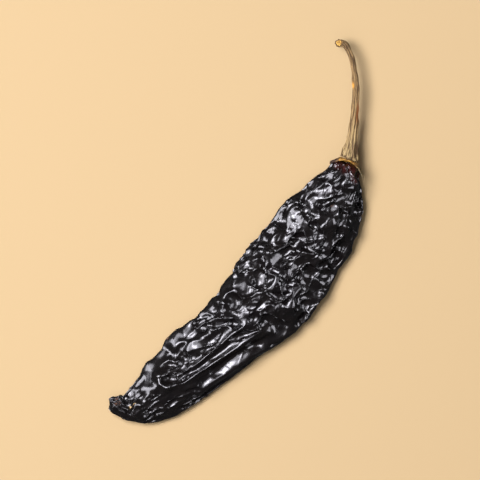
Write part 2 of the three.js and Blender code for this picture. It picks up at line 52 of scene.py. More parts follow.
# The pod's ribs, in millimetres: left x, left y, right x, right y, underside, top.
RIBS = np.array([
    (50.5, 3, 54.5, -9, 4, 14.5),
    (49, 2.5, 52, -10.5, 3, 16),
    (44, 3.5, 48.5, -15.5, 2, 17),
    (38, 5.5, 44, -20, 1.6, 17.5),
    (30, 7, 39, -22, 1.6, 17.5),
    (21.5, 8, 30.5, -23.5, 1.6, 17.5),
    (12, 8, 22, -26.5, 1.6, 17.5),
    (1, 9, 10.5, -28.5, 1.6, 17),
    (-8.5, 8.5, -2, -30, 1.6, 17),
    (-18, 7.5, -13.5, -30.5, 1.6, 16.5),
    (-27.5, 7, -23.5, -28.5, 1.6, 15.5),
    (-35, 7, -32.5, -25.5, 1.6, 14.5),
    (-44, 8.5, -42.5, -22.5, 1.6, 13.5),
    (-54, 11.5, -51, -20.5, 1.6, 13),
    (-63.5, 11, -60, -18, 1.6, 12.5),
    (-71.5, 12.5, -66.5, -16, 1.6, 12),
    (-78, 12, -75, -12.5, 1.6, 11.5),
    (-83, 12, -82, -9.5, 1.6, 11),
    (-86.5, 12, -89.5, -4, 2, 10.5),
    (-88, 13.5, -93.5, 4, 3, 10),
    (-89.5, 14.5, -95, 10, 4, 9.5),
])
WIDEST_AT = 0.28  # share of the height at which a section is widest
# A section's side edges are thin. These powers bend it across, above its widest line and below it.
BEND_ACROSS = 0.9
BEND_ABOVE = 1.7
BEND_BELOW = 1
EDGE_POWER = 1.8  # how quickly a section's side edges begin
END_LENGTH = 3  # length of the rounded end past the first and the last rib
END_SHARE = 0.85  # share of that end that has rows, the rest closes on a pole
SEATS = ((36, -5), (-8, -23), (-58, 0))  # middles of the low spots that the pod rests on
SEAT_FLAT = 3.2  # radius of each flat spot
SEAT_FADE = 9  # radius at which the underside is back at its own height
CLEARANCE = 0.4  # least height of the underside away from the low spots
SEAT_REACH = 7  # height above which the low spots leave the skin as it is
SEAT_BLEND = 2.5
HIGHEST = 18.3  # past this height the ridges rise only by the share below
HIGH_SHARE = 0.3

# The skin starts as a lattice of equal triangles wound round the pod: ROWS along it, COLS round it.
ROWS = 100
COLS = 52
RING_SAMPLES = 240
STEPS_PER_RIB = 100  # steps along the middle line from one rib to the next
SLANT_ROUND = 0.25  # squared share of a slanting fibre that goes round the pod
SLANT_ALONG = 0.75
END_FADE = 4  # rows at either end over which the wrinkles start

# The skin shrivels in two rounds, coarse folds first. It is too large for its shape by `grow`, so it
# sinks into hollows with sharp ridges between them, held by `hold`, kept smooth by `bend` and kept
# from rising by `outside`. `rough` is the random share of each fibre's length. `calm` is how much
# less of all this there is along the pod's thin side edges, and `edge` is where that starts, from 0
# to 1.
FOLDS = dict(
    rough=0.136,
    grow=0.12,
    hold=0.03,
    bend=0.192,
    outside=0.25,
    steps=260,
    wave=9,
    start=0.5,
    calm=0.85,
    edge=0.6,
)
WRINKLES = dict(
    rough=0.03,
    grow=0.07,
    hold=0.035,
    bend=0.192,
    outside=0.25,
    steps=240,
    wave=5,
    start=0.4,
    calm=0.85,
    edge=0.68,
)
SLACK = 0.3  # how far the hold along the skin is weaker than the hold across it
DAMPING = 0.88
TIME_STEP = 0.2
SHORTEST_FIBRE = 1e-6  # keeps a fibre's length above zero
EVEN_GROWTH = 0.85  # share of the growth where no direction is favoured
FAVOUR = 0.35  # how far the growth favours one direction, in patches
PATCHES = 22  # wavelength over which the direction of the wrinkles changes
SWELL = 0.6  # how far the skin is outside the ribs before it shrivels
HOLLOWS = dict(wave=26, depth=0.3)  # broad dents in the flesh
SEEDS = dict(hollows=5, folds=11, wrinkles=12, rumples=31, crinkles=32, knots=41, fibres=42)
# The lower part of the right side has folds that run along the pod: below this x, over this
# distance, and to the right of this y.
LENGTHWAYS = dict(below=-20, over=15, right_of=-2, blend=8, amount=0.8)

# The skin then crumples into flat sides with sharp creases: the size of a side along and round the
# pod, and the slope of the sides.
CRUMPLES = (
    dict(along=14, around=11, slope=0.6),
    dict(along=8, around=6.3, slope=0.5),
    dict(along=4.8, around=3.6, slope=0.2),
)
CRUMPLE_CALM = dict(calm=0.6, edge=0.88)  # as in the rounds above
CREASE_SOFTNESS = 0.08  # how round a crease is, as a share of a side's size
SINK = 0.4  # how far each round of crumples lowers the skin
WARP = 1  # how far the creases wander, in millimetres
WARP_WAVE = 9
LONG_SIDES = 2  # how much longer the sides are where the folds run along the pod
CELLS_NEAR = range(-2, 3)  # cells searched for the nearest point
FACET_ROUNDS = 16  # rounds in which the triangles turn to their neighbours' direction
FACET_SETTLE = 24  # rounds in which the points follow the triangles
FACET_SHARPNESS = 0.34  # difference in direction that counts as a ridge, which stays
SMOOTHING_ROUNDS = 3
SMOOTHING_SHARE = 0.5

# Long ridges and grooves of the upper side: a line of x, y points, half width, height, and how
# smooth the skin is on them, from 0 to 1.
CREASES = (
    (
        ((-17, -29.8), (-28.9, -25.9), (-37.8, -21.7), (-46, -19.2), (-55.6, -16.2), (-64.5, -14)),
        1.7, 1.8, 0.7,
    ),
    (((-21.5, -26), (-31.6, -21), (-41.4, -16.8), (-51.8, -14), (-61.8, -11)), 1.3, -1.5, 0.5),
    (((-26.4, -18.4), (-37.6, -14.8), (-46.9, -11.6), (-57.8, -8), (-67.7, -4.9)), 1.2, 1.2, 0.6),
    (((-27.9, -15.1), (-38.7, -11.6), (-49.6, -9), (-60.8, -5.2)), 1, -1, 0.5),
    (((-29.5, -10.8), (-42.4, -7.6), (-53.2, -5.5), (-62.6, -2.6)), 1.2, 1, 0.6),
    (((-52, -20.6), (-57.5, -18.8), (-66.3, -16.6)), 1, -1, 0.3),
    (((36.5, -16.7), (29, -21.4), (22.6, -20.3), (16.4, -21.8), (10.6, -18.5)), 1.3, 1.1, 0.3),
    (((14.6, -26.6), (9.4, -22.8), (3.8, -22.7), (-1.3, -23.4)), 1.2, 1, 0.3),
    (((6.2, 7.1), (0.4, 5.9), (-5.2, 6)), 1.3, 0.8, 0.4),
    (((-69.1, 6.3), (-72.7, 2.3), (-72, -1.5), (-67.2, -3.3)), 1.4, 1.3, 0.6),
    (((-62.7, 10.2), (-71.3, 9.1), (-76.7, 6)), 2.4, -1.3, 0.9),
    (((-36.5, 7.8), (-45.3, 9.3), (-55, 11)), 1.6, 0.9, 0.7),
    (((-38, 3.2), (-47.2, 4.6), (-57, 5.4)), 1.2, -1, 0.4),
)
CREASE_CALM = 1.6  # how far from a crease's line the skin is smooth, in half widths
CREASE_TIP = 0.04  # share of a crease's taper that is cut off at either end
TOP_SLOPE = 3  # how quickly what is on the upper side begins as the skin turns up
# Places where the skin is smooth: x, y, radius, amount.
SMOOTH_SPOTS = (
    (-71, 8.5, 5.5, 0.9),
    (-45.5, 6.5, 4.5, 0.75),
    (-49, 0.5, 5, 0.6),
    (-56, 8, 4.5, 0.6),
    (-22, 4, 4, 0.5),
    (2, 3, 4, 0.4),
    (24, -2, 4, 0.4),
    (-6, -18, 4, 0.4),
    (-92, -1.5, 5, 0.9),
    (-18, 8.5, 4, 0.6),
)
SPOT_POWER = 4  # how evenly a spot is filled
# Coloured spots on the pod: x, y, radius, amount. Worn ones are brown and matte.
WORN_SPOTS = ((-90, 13.1, 1.9, 1), (-54.8, 12.5, 0.8, 1), (35.3, -8.9, 0.6, 0.8))
PALE_SPOTS = ((-86.4, 5.5, 0.7, 1), (-88.4, 6.4, 0.6, 1))
RED_SPOTS = ((53, -5, 3.4, 1), (51.5, -9.5, 2.4, 0.7), (51.5, 0, 2.2, 0.6))

# The calyx: the middle of its flat crown, its turn from +X towards +Y, and its axes.
CALYX_AT = np.array((55.9, -2.6, 9.3))
CALYX_TURN = math.radians(17)
AHEAD = np.array((math.cos(CALYX_TURN), math.sin(CALYX_TURN), 0))
ASIDE = np.array((math.sin(CALYX_TURN), -math.cos(CALYX_TURN), 0))
UPRIGHT = np.array((0.0, 0.0, 1.0))
CROWN = 4.3  # radius of the crown
CAP_RADIUS = 5.1  # radius of the rim between its lobes
CAP_SLOPE = (1, 1.15, 0.2)  # behind the crown, towards the left, the right and the top
CAP_THICK = 0.5
# How much thicker the left lobe is, and where towards the left that starts, with 1 straight left.
LEFT_LOBE = dict(thicker=1.6, start=0.4, over=0.5)
# Lobes of the rim: angle from the right, reach, width.
LOBES = (
    (0, 3.6, 0.75),
    (3.05, 2.6, 0.55),
    (1.05, 0.35, 0.4),
    (1.95, 0.5, 0.4),
    (4.2, 1.4, 0.5),
    (5.2, 1.6, 0.5),
)
# The calyx's rings, as shares of the rim's radius: on its top, round its edge, where the first
# number is the depth under the top in thicknesses, and on its underside.
CALYX_SIDES = 220
CAP_TOP = np.linspace(0.08, 0.97, 24)
CAP_EDGE = ((0.1, 0.992), (0.3, 1), (0.7, 0.998), (0.95, 0.985))
CAP_BOTTOM = np.linspace(0.95, 0.1, 12)
RUMPLES = dict(wave=4, height=0.14)
CRINKLES = dict(wave=1.3, height=0.1)
RUMPLE_FROM = 0.9  # share of the crown's radius at which both begin
GAP = 0.35  # between the pod, the calyx and the stem
UNDER = 0.1  # least thickness of air and fibre between the calyx and the pod's skin
TUCK = 0.8  # reach past the calyx's rim over which the pod's skin comes up again
TUCK_SLOPE = 1.2  # how steeply it comes up
TUCK_RIMS = 2  # the part of the pod that is tucked under, in rims
TUCK_BEHIND = 20

# The stem's middle x, y, z and radius, from the calyx to the cut end.
STEM = np.array([
    (56.2, -2.5, 9.4, 4.1),
    (58.3, -1.2, 9.5, 3.6),
    (62.4, 1.2, 9.6, 2.6),
    (68.3, 4.8, 9.8, 1.95),
    (73.9, 8.5, 10, 1.65),
    (79.2, 12, 10.2, 1.5),
    (83.4, 15.4, 10.4, 1.4),
    (87.8, 19.6, 10.5, 1.25),
    (91.6, 23.9, 10.5, 1.15),
    (93.9, 27.7, 10.4, 1.2),
    (94.6, 30.5, 10.3, 1.35),
    (93.6, 32.7, 10.2, 1.6),
])
STEM_RINGS = 220
STEM_SIDES = 96
STEM_STEP = 0.05  # part of a table row over which the stem's direction is measured
STEM_FOOT = 2  # table rows over which the stem turns from the calyx's axis to its own
FLUTES = dict(count=8, depth=0.06, twist=2.2, broad_count=3, broad_depth=0.03)
KNOTS = dict(wave=5, depth=0.05)
FIBRES = dict(wave=1, depth=0.05, around=3, along=0.5)
# The cut end leans back by this slope, which comes in over this many table rows.
CUT_SLANT = 1
CUT_OVER = 2.5
# The cut end, from its rim inwards: share of the radius, and how far past the last ring.
CUT_END = ((0.92, 0.05), (0.8, -0.05), (0.6, -0.12), (0.5, -0.4), (0.25, -0.5))
CUT_RINGS = 8  # rings over which the direction of the cut end is measured
# Marks on the stem: table row, reach along it in rows, how square its ends are, the side that it
# faces, and where on that side it starts.
SPOT = dict(at=6, reach=0.2, power=2, side=1, start=0.3)
STREAK = dict(at=4, reach=0.7, power=4, side=-1, start=0.2)
MARK_BLEND = 0.5

# Brings the middle of the footprint to the origin.
SHIFT = np.array((0, -0.9, 0))

# Colours. Pairs are a dark and a pale one, in patches.
SKIN_COLOURS = ((0.0025, 0.002, 0.0026), (0.0065, 0.0048, 0.0042))
RED = (0.05, 0.01, 0.009)
CRUST_COLOURS = ((0.012, 0.007, 0.006), (0.14, 0.07, 0.045))
SPECK = (0.62, 0.42, 0.2)
AMBER = ((0.1, 0.035, 0.008), (0.5, 0.27, 0.05))
OLIVE = ((0.07, 0.045, 0.02), (0.34, 0.27, 0.15))
CALYX_BROWN = (0.03, 0.014, 0.008)
BARK_AT_FOOT = (0.42, 0.3, 0.14)
BARK = (0.36, 0.23, 0.1)
BARK_GROOVE = (0.075, 0.042, 0.02)
BARK_FIBRE = (0.045, 0.024, 0.01)
BARK_STREAK = (0.2, 0.07, 0.02)
BARK_SPOT = (0.75, 0.34, 0.05)
CUT_RIM = (0.09, 0.05, 0.025)
PITH = ((0.8, 0.5, 0.12), (0.28, 0.14, 0.04))
FLOOR_COLOUR = (0.44, 0.315, 0.17)
MARKS_STRETCH = (0.55, 1, 1)  # the skin's marks are longer along the pod
BARK_STRETCH = 0.22  # how the bark's ridges are drawn out along the stem

# The camera and the studio, in metres and watts. Each light is its place to the right, up the
# picture and above the floor, its size and its power. The first two light the floor and the skin's
# own colour, and the glints only show as reflections in the glossy skin.
CAMERA_HEIGHT = 2.4
SENSOR = 36  # the camera's own width, in millimetres
FLOOR_REACH = 2
LIGHT_TINT = (0.95, 0.95, 1)
GLINT_TINT = (0.93, 0.91, 1)
LIGHTS = (
    ("key", -0.5, 0.18, 1.3, 0.65, 40),
    ("overhead", -0.2, -0.3, 1.4, 1.4, 8),
)
GLINTS = (
    ("small glint", -0.7, 0.5, 1.2, 0.55, 18),
    ("wide glint", -0.75, 0.5, 1.3, 1.4, 26),
    ("side glint", -1.5, 0.4, 0.65, 0.9, 22),
    ("far glint", 1.3, 0.1, 0.9, 0.9, 16),
)
WORLD_COLOUR = (1, 1, 1)
WORLD_STRENGTH = 0.05

# Noise is a sum of this many plane waves. Their lengths start at this share of the wavelength and
# are spread over this much more.
WAVE_COUNT = 40
WAVE_SHORTEST = 0.65
WAVE_SPREAD = 0.7
# Multipliers for numbers that look random but depend on a lattice point or a cell alone.
POINT_HASH = (12.9898, 78.233, 37.719)
CELL_HASH = (127.1, 311.7, 74.7)
HASH_SCALE = 43758.5453
SECOND_HASH = 1.7


def random_from(seed):
    """Repeatable random numbers from 0 to 1."""
    state = seed
    while True:
        state = (state * 1664525 + 1013904223) % 2**32
        yield state / 2**32


def hashed(factors, *numbers):
    """A large scattered number that depends on the given ones alone."""
    return np.sin(sum(number * factor for factor, number in zip(factors, numbers))) * HASH_SCALE


def scatter(rows, cols, k):
    """A number from 0 to 1 for each point of a lattice."""
    i, j = np.mgrid[0:rows, 0:cols]
    s = hashed(POINT_HASH, i, j, k)
    return s - np.floor(s)


def waves(length, random):
    """Smooth noise of one wavelength, as a function of points: plane waves in random directions."""
    total = []
    for _ in range(WAVE_COUNT):
        turn = 2 * math.pi * next(random)
        rise = 2 * next(random) - 1
        flat = math.sqrt(1 - rise * rise)
        k = 2 * math.pi / (length * (WAVE_SHORTEST + WAVE_SPREAD * next(random)))
        phase = 2 * math.pi * next(random)
        total.append((k * flat * math.cos(turn), k * flat * math.sin(turn), k * rise, phase))
    scale = 1 / math.sqrt(WAVE_COUNT / 2)

    def at(points):
        x, y, z = points[..., 0], points[..., 1], points[..., 2]
        return scale * sum(np.sin(a * x + b * y + c * z + phase) for a, b, c, phase in total)

    return at


def between(rows, t):
    """Rows of numbers on a smooth curve through the rows of a table."""
    t = np.asarray(t, float)
    last = len(rows) - 1
    i = np.clip(np.floor(t).astype(int), 0, last - 1)
    f = (t - i)[..., None]
    a, b = rows[np.maximum(i - 1, 0)], rows[i]
    c, d = rows[i + 1], rows[np.minimum(i + 2, last)]
    curve = 2 * b + (c - a) * f + (2 * a - 5 * b + 4 * c - d) * f**2 + (3 * b - a - 3 * c + d) * f**3
    return 0.5 * curve


def smooth_step(t):
    t = np.clip(t, 0, 1)
    return t * t * (3 - 2 * t)


def middle_of(rib):
    return (rib[..., 0:2] + rib[..., 2:4]) / 2


def unit(v):
    size = np.linalg.norm(v, axis=-1, keepdims=True)
    return v / np.where(size == 0, 1, size)


def dot(a, b):
    return (a * b).sum(-1, keepdims=True)


def shifted(lattice, di, dj):
    """The lattice's point at row i + di and column j + dj. Rows stop at the ends, columns go round."""
    rows = np.clip(np.arange(len(lattice)) + di, 0, len(lattice) - 1)
    return np.roll(lattice[rows], -dj, axis=1)


def outwards(lattice):
    """Unit normals that point out of the pod."""
    round_ = shifted(lattice, 0, 1) - shifted(lattice, 0, -1)
    ahead = shifted(lattice, 1, 0) + shifted(lattice, 1, -1)
    behind = shifted(lattice, -1, 0) + shifted(lattice, -1, 1)
    return unit(np.cross(round_, ahead - behind))


def on_top(lattice):
    """1 on the upper side, and 0 where the skin faces down."""
    return smooth_step(outwards(lattice)[..., 2] * TOP_SLOPE)


def pod_ring(rib, row, past, way):
    """One closed section, its points spread evenly and shifted half a step for each row, and how
    near each point is to the side edges."""
    low, high = rib[4], rib[5]
    shrink = math.sqrt(1 - (past / END_LENGTH) ** 2)
    wide = low + WIDEST_AT * (high - low)
    angle = 2 * math.pi * np.arange(RING_SAMPLES + 1) / RING_SAMPLES
    side, up = np.cos(angle), np.sin(angle)
    across = 0.5 * shrink * np.sign(side) * np.abs(side) ** BEND_ACROSS
    over = (high - wide) * np.abs(up) ** BEND_ABOVE
    under = (wide - low) * np.sign(up) * np.abs(up) ** BEND_BELOW
    flat = middle_of(rib) + across[:, None] * (rib[2:4] - rib[0:2]) + way * past
    edge = np.abs(side) ** EDGE_POWER
    outline = np.column_stack([flat, wide + np.where(up > 0, over, under) * shrink])
    around = np.concatenate([[0], np.cumsum(np.linalg.norm(np.diff(outline, axis=0), axis=1))])
    want = ((np.arange(COLS) + row / 2) / COLS % 1) * around[-1]
    n = np.maximum(np.searchsorted(around, want, side="right"), 1)
    f = ((want - around[n - 1]) / (around[n] - around[n - 1]))[:, None]
    return outline[n - 1] + f * (outline[n] - outline[n - 1]), edge[n]


def plain_pod():
    """The flesh without wrinkles, as lattice[row, column] = x, y, z, and how near each point is to
    the side edges, from 0 to 1."""
    steps = STEPS_PER_RIB * (len(RIBS) - 1)
    t = np.arange(steps + 1) / steps * (len(RIBS) - 1)
    middle = middle_of(between(RIBS, t))
    length = np.concatenate([[0], np.cumsum(np.linalg.norm(np.diff(middle, axis=0), axis=1))])
    stem_way = unit(middle[0] - middle[STEPS_PER_RIB])
    tip_way = unit(middle[steps] - middle[steps - STEPS_PER_RIB])
    reach = END_LENGTH * END_SHARE
    rings = []
    for i in range(ROWS):
        d = i / (ROWS - 1) * (length[-1] + 2 * reach) - reach
        past = -d if d < 0 else max(d - length[-1], 0)
        rib = between(RIBS, t[min(np.searchsorted(length, d), steps)])
        rings.append(pod_ring(rib, i, past, stem_way if d < 0 else tip_way))
    return np.array([ring for ring, _ in rings]), np.array([edge for _, edge in rings])


def curl(lattice):
    """The average of each point's six neighbours, less the point itself."""
    steps = ((1, 0), (-1, 0), (0, 1), (0, -1), (1, -1), (-1, 1))
    return sum(shifted(lattice, di, dj) for di, dj in steps) / len(steps) - lattice


def lengthways(points):
    """Below zero where the folds run along the pod: there the skin is too large round the pod and
    not along it."""
    low = smooth_step((LENGTHWAYS["below"] - points[..., 0]) / LENGTHWAYS["over"])
    right = smooth_step((LENGTHWAYS["right_of"] - points[..., 1]) / LENGTHWAYS["blend"])
    return -LENGTHWAYS["amount"] * low * right


def spots(points, places):
    """How far the points are inside round spots, each an x, y, radius and amount, from 0 to 1."""
    inside = np.zeros(points.shape[:-1])
    for x, y, radius, amount in places:
        away = np.hypot(points[..., 0] - x, points[..., 1] - y)
        inside = np.maximum(inside, amount * np.exp(-((away / radius) ** SPOT_POWER)))
    return inside


def stiffness(points, edge, how):
    """How much less the skin wrinkles: at the side edges, along smooth folds and on smooth spots."""
    calm = how["calm"] * smooth_step((edge - how["edge"]) / (1 - how["edge"]))
    for line, half, _, smooth in CREASES:
        away, _ = near_line(points[..., 0], points[..., 1], line)
        calm = np.maximum(calm, smooth * np.exp(-((away / (CREASE_CALM * half)) ** 2)))
    return np.maximum(calm, spots(points, SMOOTH_SPOTS))


def shrivel(flesh, edge, how, seed):
    """Shrivels a skin that is too large for its shape."""
    random = random_from(seed)
    noise = waves(how["wave"], random)
    turn = waves(PATCHES, random)
    out = outwards(flesh)
    rows, cols = flesh.shape[:2]
    index = np.arange(rows)
    end = np.minimum(1, np.minimum(index, rows - 1 - index) / (END_FADE * rows / ROWS))
    fade = end[:, None] * (1 - stiffness(flesh, edge, how))
    skin = flesh + out * (how["start"] * fade * noise(flesh))[..., None]
    bias = FAVOUR * turn(flesh) + lengthways(flesh)
    along = 1 + how["grow"] * fade * np.maximum(EVEN_GROWTH + bias, 0)
    round_ = 1 + how["grow"] * fade * np.maximum(EVEN_GROWTH - bias, 0)
    slant = np.sqrt(SLANT_ROUND * round_**2 + SLANT_ALONG * along**2)
    fibres = []
    for k, (di, dj) in enumerate(((1, 0), (0, 1), (1, -1))):
        length = np.linalg.norm(shifted(flesh, di, dj) - flesh, axis=2)
        rough = 1 + how["rough"] * (scatter(rows, cols, k + seed) - 0.5)
        rest = length * (slant if di else round_) * rough
        fibres.append((di, dj, rest[: rows - di]))
    speed = np.zeros_like(skin)
    for _ in range(how["steps"]):
        force = np.zeros_like(skin)
        for di, dj, rest in fibres:
            d = np.roll(skin, -dj, axis=1)[di:] - skin[: rows - di]
            stretch = np.maximum(np.sqrt(np.einsum("ijk,ijk->ij", d, d)), SHORTEST_FIBRE)
            d *= (1 - rest / stretch)[..., None]
            force[: rows - di] += d
            force[di:] -= np.roll(d, dj, axis=1)
        lift = skin - flesh
        away = dot(lift, out)
        across = away * out
        force -= how["bend"] * curl(curl(lift))
        force -= (how["hold"] + np.where(away > 0, how["outside"], 0)) * across
        force -= SLACK * how["hold"] * (lift - across)
        speed[1:-1] = DAMPING * speed[1:-1] + TIME_STEP * force[1:-1]
        skin += speed
    return skin


def halfway(before, here, after, beyond):
    """The middle of a smooth curve through four evenly spaced points."""
    return (9 * (here + after) - before - beyond) / 16


def finer(lattice):
    """Twice as many rows and columns, on smooth curves through the ones there are."""
    rows, cols = lattice.shape[:2]
    half = halfway(shifted(lattice, -1, 0), lattice, shifted(lattice, 1, 0), shifted(lattice, 2, 0))
    long = np.zeros((2 * rows - 1, cols, lattice.shape[2]))
    long[::2] = lattice
    long[1::2] = half[:-1]
    result = np.zeros((2 * rows - 1, 2 * cols, lattice.shape[2]))
    result[:, ::2] = long
    result[:, 1::2] = halfway(shifted(long, 0, -1), long, shifted(long, 0, 1), shifted(long, 0, 2))
    return result


def near_line(x, y, line):
    """Distance to a line of points, and how far along the line the nearest place is."""
    best = np.full(x.shape, np.inf)
    share = np.zeros(x.shape)
    for n in range(len(line) - 1):
        (x0, y0), (x1, y1) = line[n], line[n + 1]
        dx, dy = x1 - x0, y1 - y0
        f = np.clip(((x - x0) * dx + (y - y0) * dy) / (dx * dx + dy * dy), 0, 1)
        away = np.hypot(x - x0 - f * dx, y - y0 - f * dy)
        share = np.where(away < best, (n + f) / (len(line) - 1), share)
        best = np.minimum(away, best)
    return best, share


def crease(lattice):
    """Raises the long ridges and sinks the grooves of the upper side."""
    height = 0
    for line, half, rise, _ in CREASES:
        away, share = near_line(lattice[..., 0], lattice[..., 1], line)
        taper = np.sqrt(np.sin(math.pi * (CREASE_TIP + (1 - 2 * CREASE_TIP) * share)))
        height = height + rise * taper * np.exp(-((away / half) ** 2))
    return lattice + outwards(lattice) * (height * on_top(lattice))[..., None]


def around_cap(left, right, top, angle):
    """A value between those for the left, the right and the top, at an angle from the right to +Z."""
    side = np.where(np.cos(angle) > 0, right, left)
    return np.hypot(side * np.cos(angle), top * np.sin(angle))


def rim_at(angle):
    """Radius of the calyx's rim at an angle from the right to +Z."""
    rim = CAP_RADIUS
    for middle, reach, width in LOBES:
        off = (angle - middle + math.pi) % (2 * math.pi) - math.pi
        rim = rim + reach * np.exp(-((off / width) ** 2))
    return rim


def drop_at(radius, angle):
    """How far the calyx has dropped behind its crown."""
    return np.maximum(radius - CROWN, 0) * around_cap(*CAP_SLOPE, angle)


def thick_at(angle):
    """The calyx's thickness: its left lobe is thicker."""
    left = smooth_step((-np.cos(angle) - LEFT_LOBE["start"]) / LEFT_LOBE["over"])
    return CAP_THICK * (1 + LEFT_LOBE["thicker"] * left)


def tuck_under(lattice):
    """Keeps the pod's shoulder under the calyx, with a gap between them."""
    d = lattice - CALYX_AT
    ahead, aside = d @ AHEAD, d @ ASIDE
    angle = np.arctan2(d[..., 2], aside)
    radius = np.hypot(aside, d[..., 2])
    rim = rim_at(angle)
    past = np.maximum(radius - rim - TUCK, 0)
    under = drop_at(np.minimum(radius, rim), angle) + thick_at(angle) + UNDER + GAP
    limit = TUCK_SLOPE * past - under
    stays = (ahead < limit) | (radius > TUCK_RIMS * rim) | (ahead < -TUCK_BEHIND)
    return lattice + np.where(stays, 0, limit - ahead)[..., None] * AHEAD


def set_down(lattice):
    """Sets the pod down: flat on its three low spots, and clear of the surface elsewhere."""
    x, y, z = lattice[..., 0], lattice[..., 1], lattice[..., 2]
    near = np.min([np.hypot(x - sx, y - sy) for sx, sy in SEATS], axis=0)
    rise = smooth_step((near - SEAT_FLAT) / (SEAT_FADE - SEAT_FLAT))
    result = lattice.copy()
    z = np.where(z > HIGHEST, HIGHEST + HIGH_SHARE * (z - HIGHEST), z)
    lowered = np.maximum(z, CLEARANCE) * rise
    result[..., 2] = z + (lowered - z) * smooth_step((SEAT_REACH - z) / SEAT_BLEND)
    return result


def skin_over(name, rings, first_pole, last_pole):
    """A closed smooth mesh from rings of points, in millimetres, with a pole at each end."""
    rows, count = rings.shape[:2]
    points = (np.concatenate([rings.reshape(-1, 3), [first_pole, last_pole]]) + SHIFT) / MM_PER_METRE
    i, j = np.mgrid[0:rows - 1, 0:count]
    a = (i * count + j).ravel()
    b = (i * count + (j + 1) % count).ravel()
    start = np.arange(count)
    after = (start + 1) % count
    end = (rows - 1) * count
    first, last = np.full(count, rows * count), np.full(count, rows * count + 1)
    faces = np.concatenate([
        np.column_stack([a, b, a + count]),
        np.column_stack([b, b + count, a + count]),
        np.column_stack([first, after, start]),
        np.column_stack([last, end + start, end + after]),
    ])
    mesh = bpy.data.meshes.new(name)
    mesh.from_pydata(points.tolist(), [], faces.tolist())
    mesh.polygons.foreach_set("use_smooth", [True] * len(mesh.polygons))
    mesh.update()
    piece = bpy.data.objects.new(name, mesh)
    SCENE.collection.objects.link(piece)
    return piece


def nearest_square(lattice, along, around, seed):
    """The squared distance from each point to the nearest of some random points, in millimetres,
    rounded a little where two are as near. They are this far apart along and round the pod."""
    rows, cols = lattice.shape[:2]
    random = random_from(seed)
    warp = [waves(WARP_WAVE, random) for _ in range(2)]
    girth = np.linalg.norm(shifted(lattice, 0, 1) - lattice, axis=2).sum(1)
    length = np.linalg.norm(np.diff(lattice.mean(1), axis=0), axis=1).sum()
    count = round(girth.mean() / around)
    i, j = np.mgrid[0:rows, 0:cols]
    wide = (girth / count)[:, None]
    u = i / (rows - 1) * length / along + WARP * warp[0](lattice) / along
    v = (j + i / 2) / cols * count + WARP * warp[1](lattice) / wide
    stretch = 1 + LONG_SIDES * np.abs(lengthways(lattice))
    total = np.zeros((rows, cols))
    soft = 2 * around * CREASE_SOFTNESS
    for du in CELLS_NEAR:
        for dv in CELLS_NEAR:
            cu, cv = np.floor(u) + du, np.floor(v) + dv
            key = hashed(CELL_HASH, cu, cv % count, seed)
            ahead = (cu + key % 1 - u) * along / stretch
            aside = (cv + key * SECOND_HASH % 1 - v) * wide
            total += np.exp(-(ahead**2 + aside**2) / soft)
    return -soft * np.log(total)


def crumple(lattice, edge, how, seed):
    """Folds the skin into flat sides: the edges round the first points stand up, and those round
    the second points are grooves."""
    size = how["along"], how["around"]
    height = nearest_square(lattice, *size, seed) - nearest_square(lattice, *size, seed + 1)
    height = height * how["slope"] / (2 * how["around"])
    calm = 1 - stiffness(lattice, edge, CRUMPLE_CALM)
    return lattice + outwards(lattice) * ((height - SINK) * calm)[..., None]


def corners(lattice):
    """The four corners of each cell. The first three are one triangle and the last three another."""
    a, b = lattice[:-1], np.roll(lattice[:-1], -1, axis=1)
    c, d = lattice[1:], np.roll(lattice[1:], -1, axis=1)
    return a, b, c, d


def turned_to(own, others):
    """Normals turned to those of their neighbours that point nearly the same way."""
    total = own.copy()
    for other in others:
        apart = ((own - other) ** 2).sum(-1, keepdims=True)
        total += np.exp(-apart / (2 * FACET_SHARPNESS**2)) * other
    return unit(total)


def facet(skin):
    """Flattens the skin between its ridges and keeps the ridges sharp."""
    rows = len(skin)
    a, b, c, d = corners(skin)
    first = unit(np.cross(b - a, c - a))
    second = unit(np.cross(d - b, c - b))
    for _ in range(FACET_ROUNDS):
        below = np.concatenate([second[:1], second[:-1]])
        left = np.roll(second, 1, axis=1)
        new_first = turned_to(first, (second, below, left))
        above = np.concatenate([first[1:], first[-1:]])
        right = np.roll(first, -1, axis=1)
        second = turned_to(second, (first, above, right))
        first = new_first
    first_corners = ((0, 0), (0, 1), (1, 0))
    second_corners = ((0, 1), (1, 0), (1, 1))
    triangles_at_point = len(first_corners) + len(second_corners)
    points = skin.copy()
    for _ in range(FACET_SETTLE):
        a, b, c, d = corners(points)
        one, two = (a + b + c) / 3, (b + c + d) / 3
        move = np.zeros_like(points)
        for normal, middle, places in ((first, one, first_corners), (second, two, second_corners)):
            for di, dj in places:
                corner = np.roll(points[di: rows - 1 + di], -dj, axis=1)
                pull = normal * dot(normal, middle - corner)
                move[di: rows - 1 + di] += np.roll(pull, dj, axis=1)
        points[1:-1] += move[1:-1] / triangles_at_point
    return points


def pod_lattice():
    """The pod's wrinkled skin, before it is set down."""
    hollow = waves(HOLLOWS["wave"], random_from(SEEDS["hollows"]))
    flesh, edge = plain_pod()
    flesh = flesh + outwards(flesh) * (SWELL + HOLLOWS["depth"] * hollow(flesh))[..., None]
    folded = crease(finer(shrivel(flesh, edge, FOLDS, SEEDS["folds"])))
    edge = finer(edge[..., None])
    wrinkled = shrivel(folded, edge[..., 0], WRINKLES, SEEDS["wrinkles"])
    edge = finer(edge)[..., 0]
    skin = finer(wrinkled)
    for n, how in enumerate(CRUMPLES):
        skin = crumple(skin, edge, how, 2 * n)
    skin = facet(skin)
    for _ in range(SMOOTHING_ROUNDS):
        skin = skin + SMOOTHING_SHARE * curl(skin)
    return skin


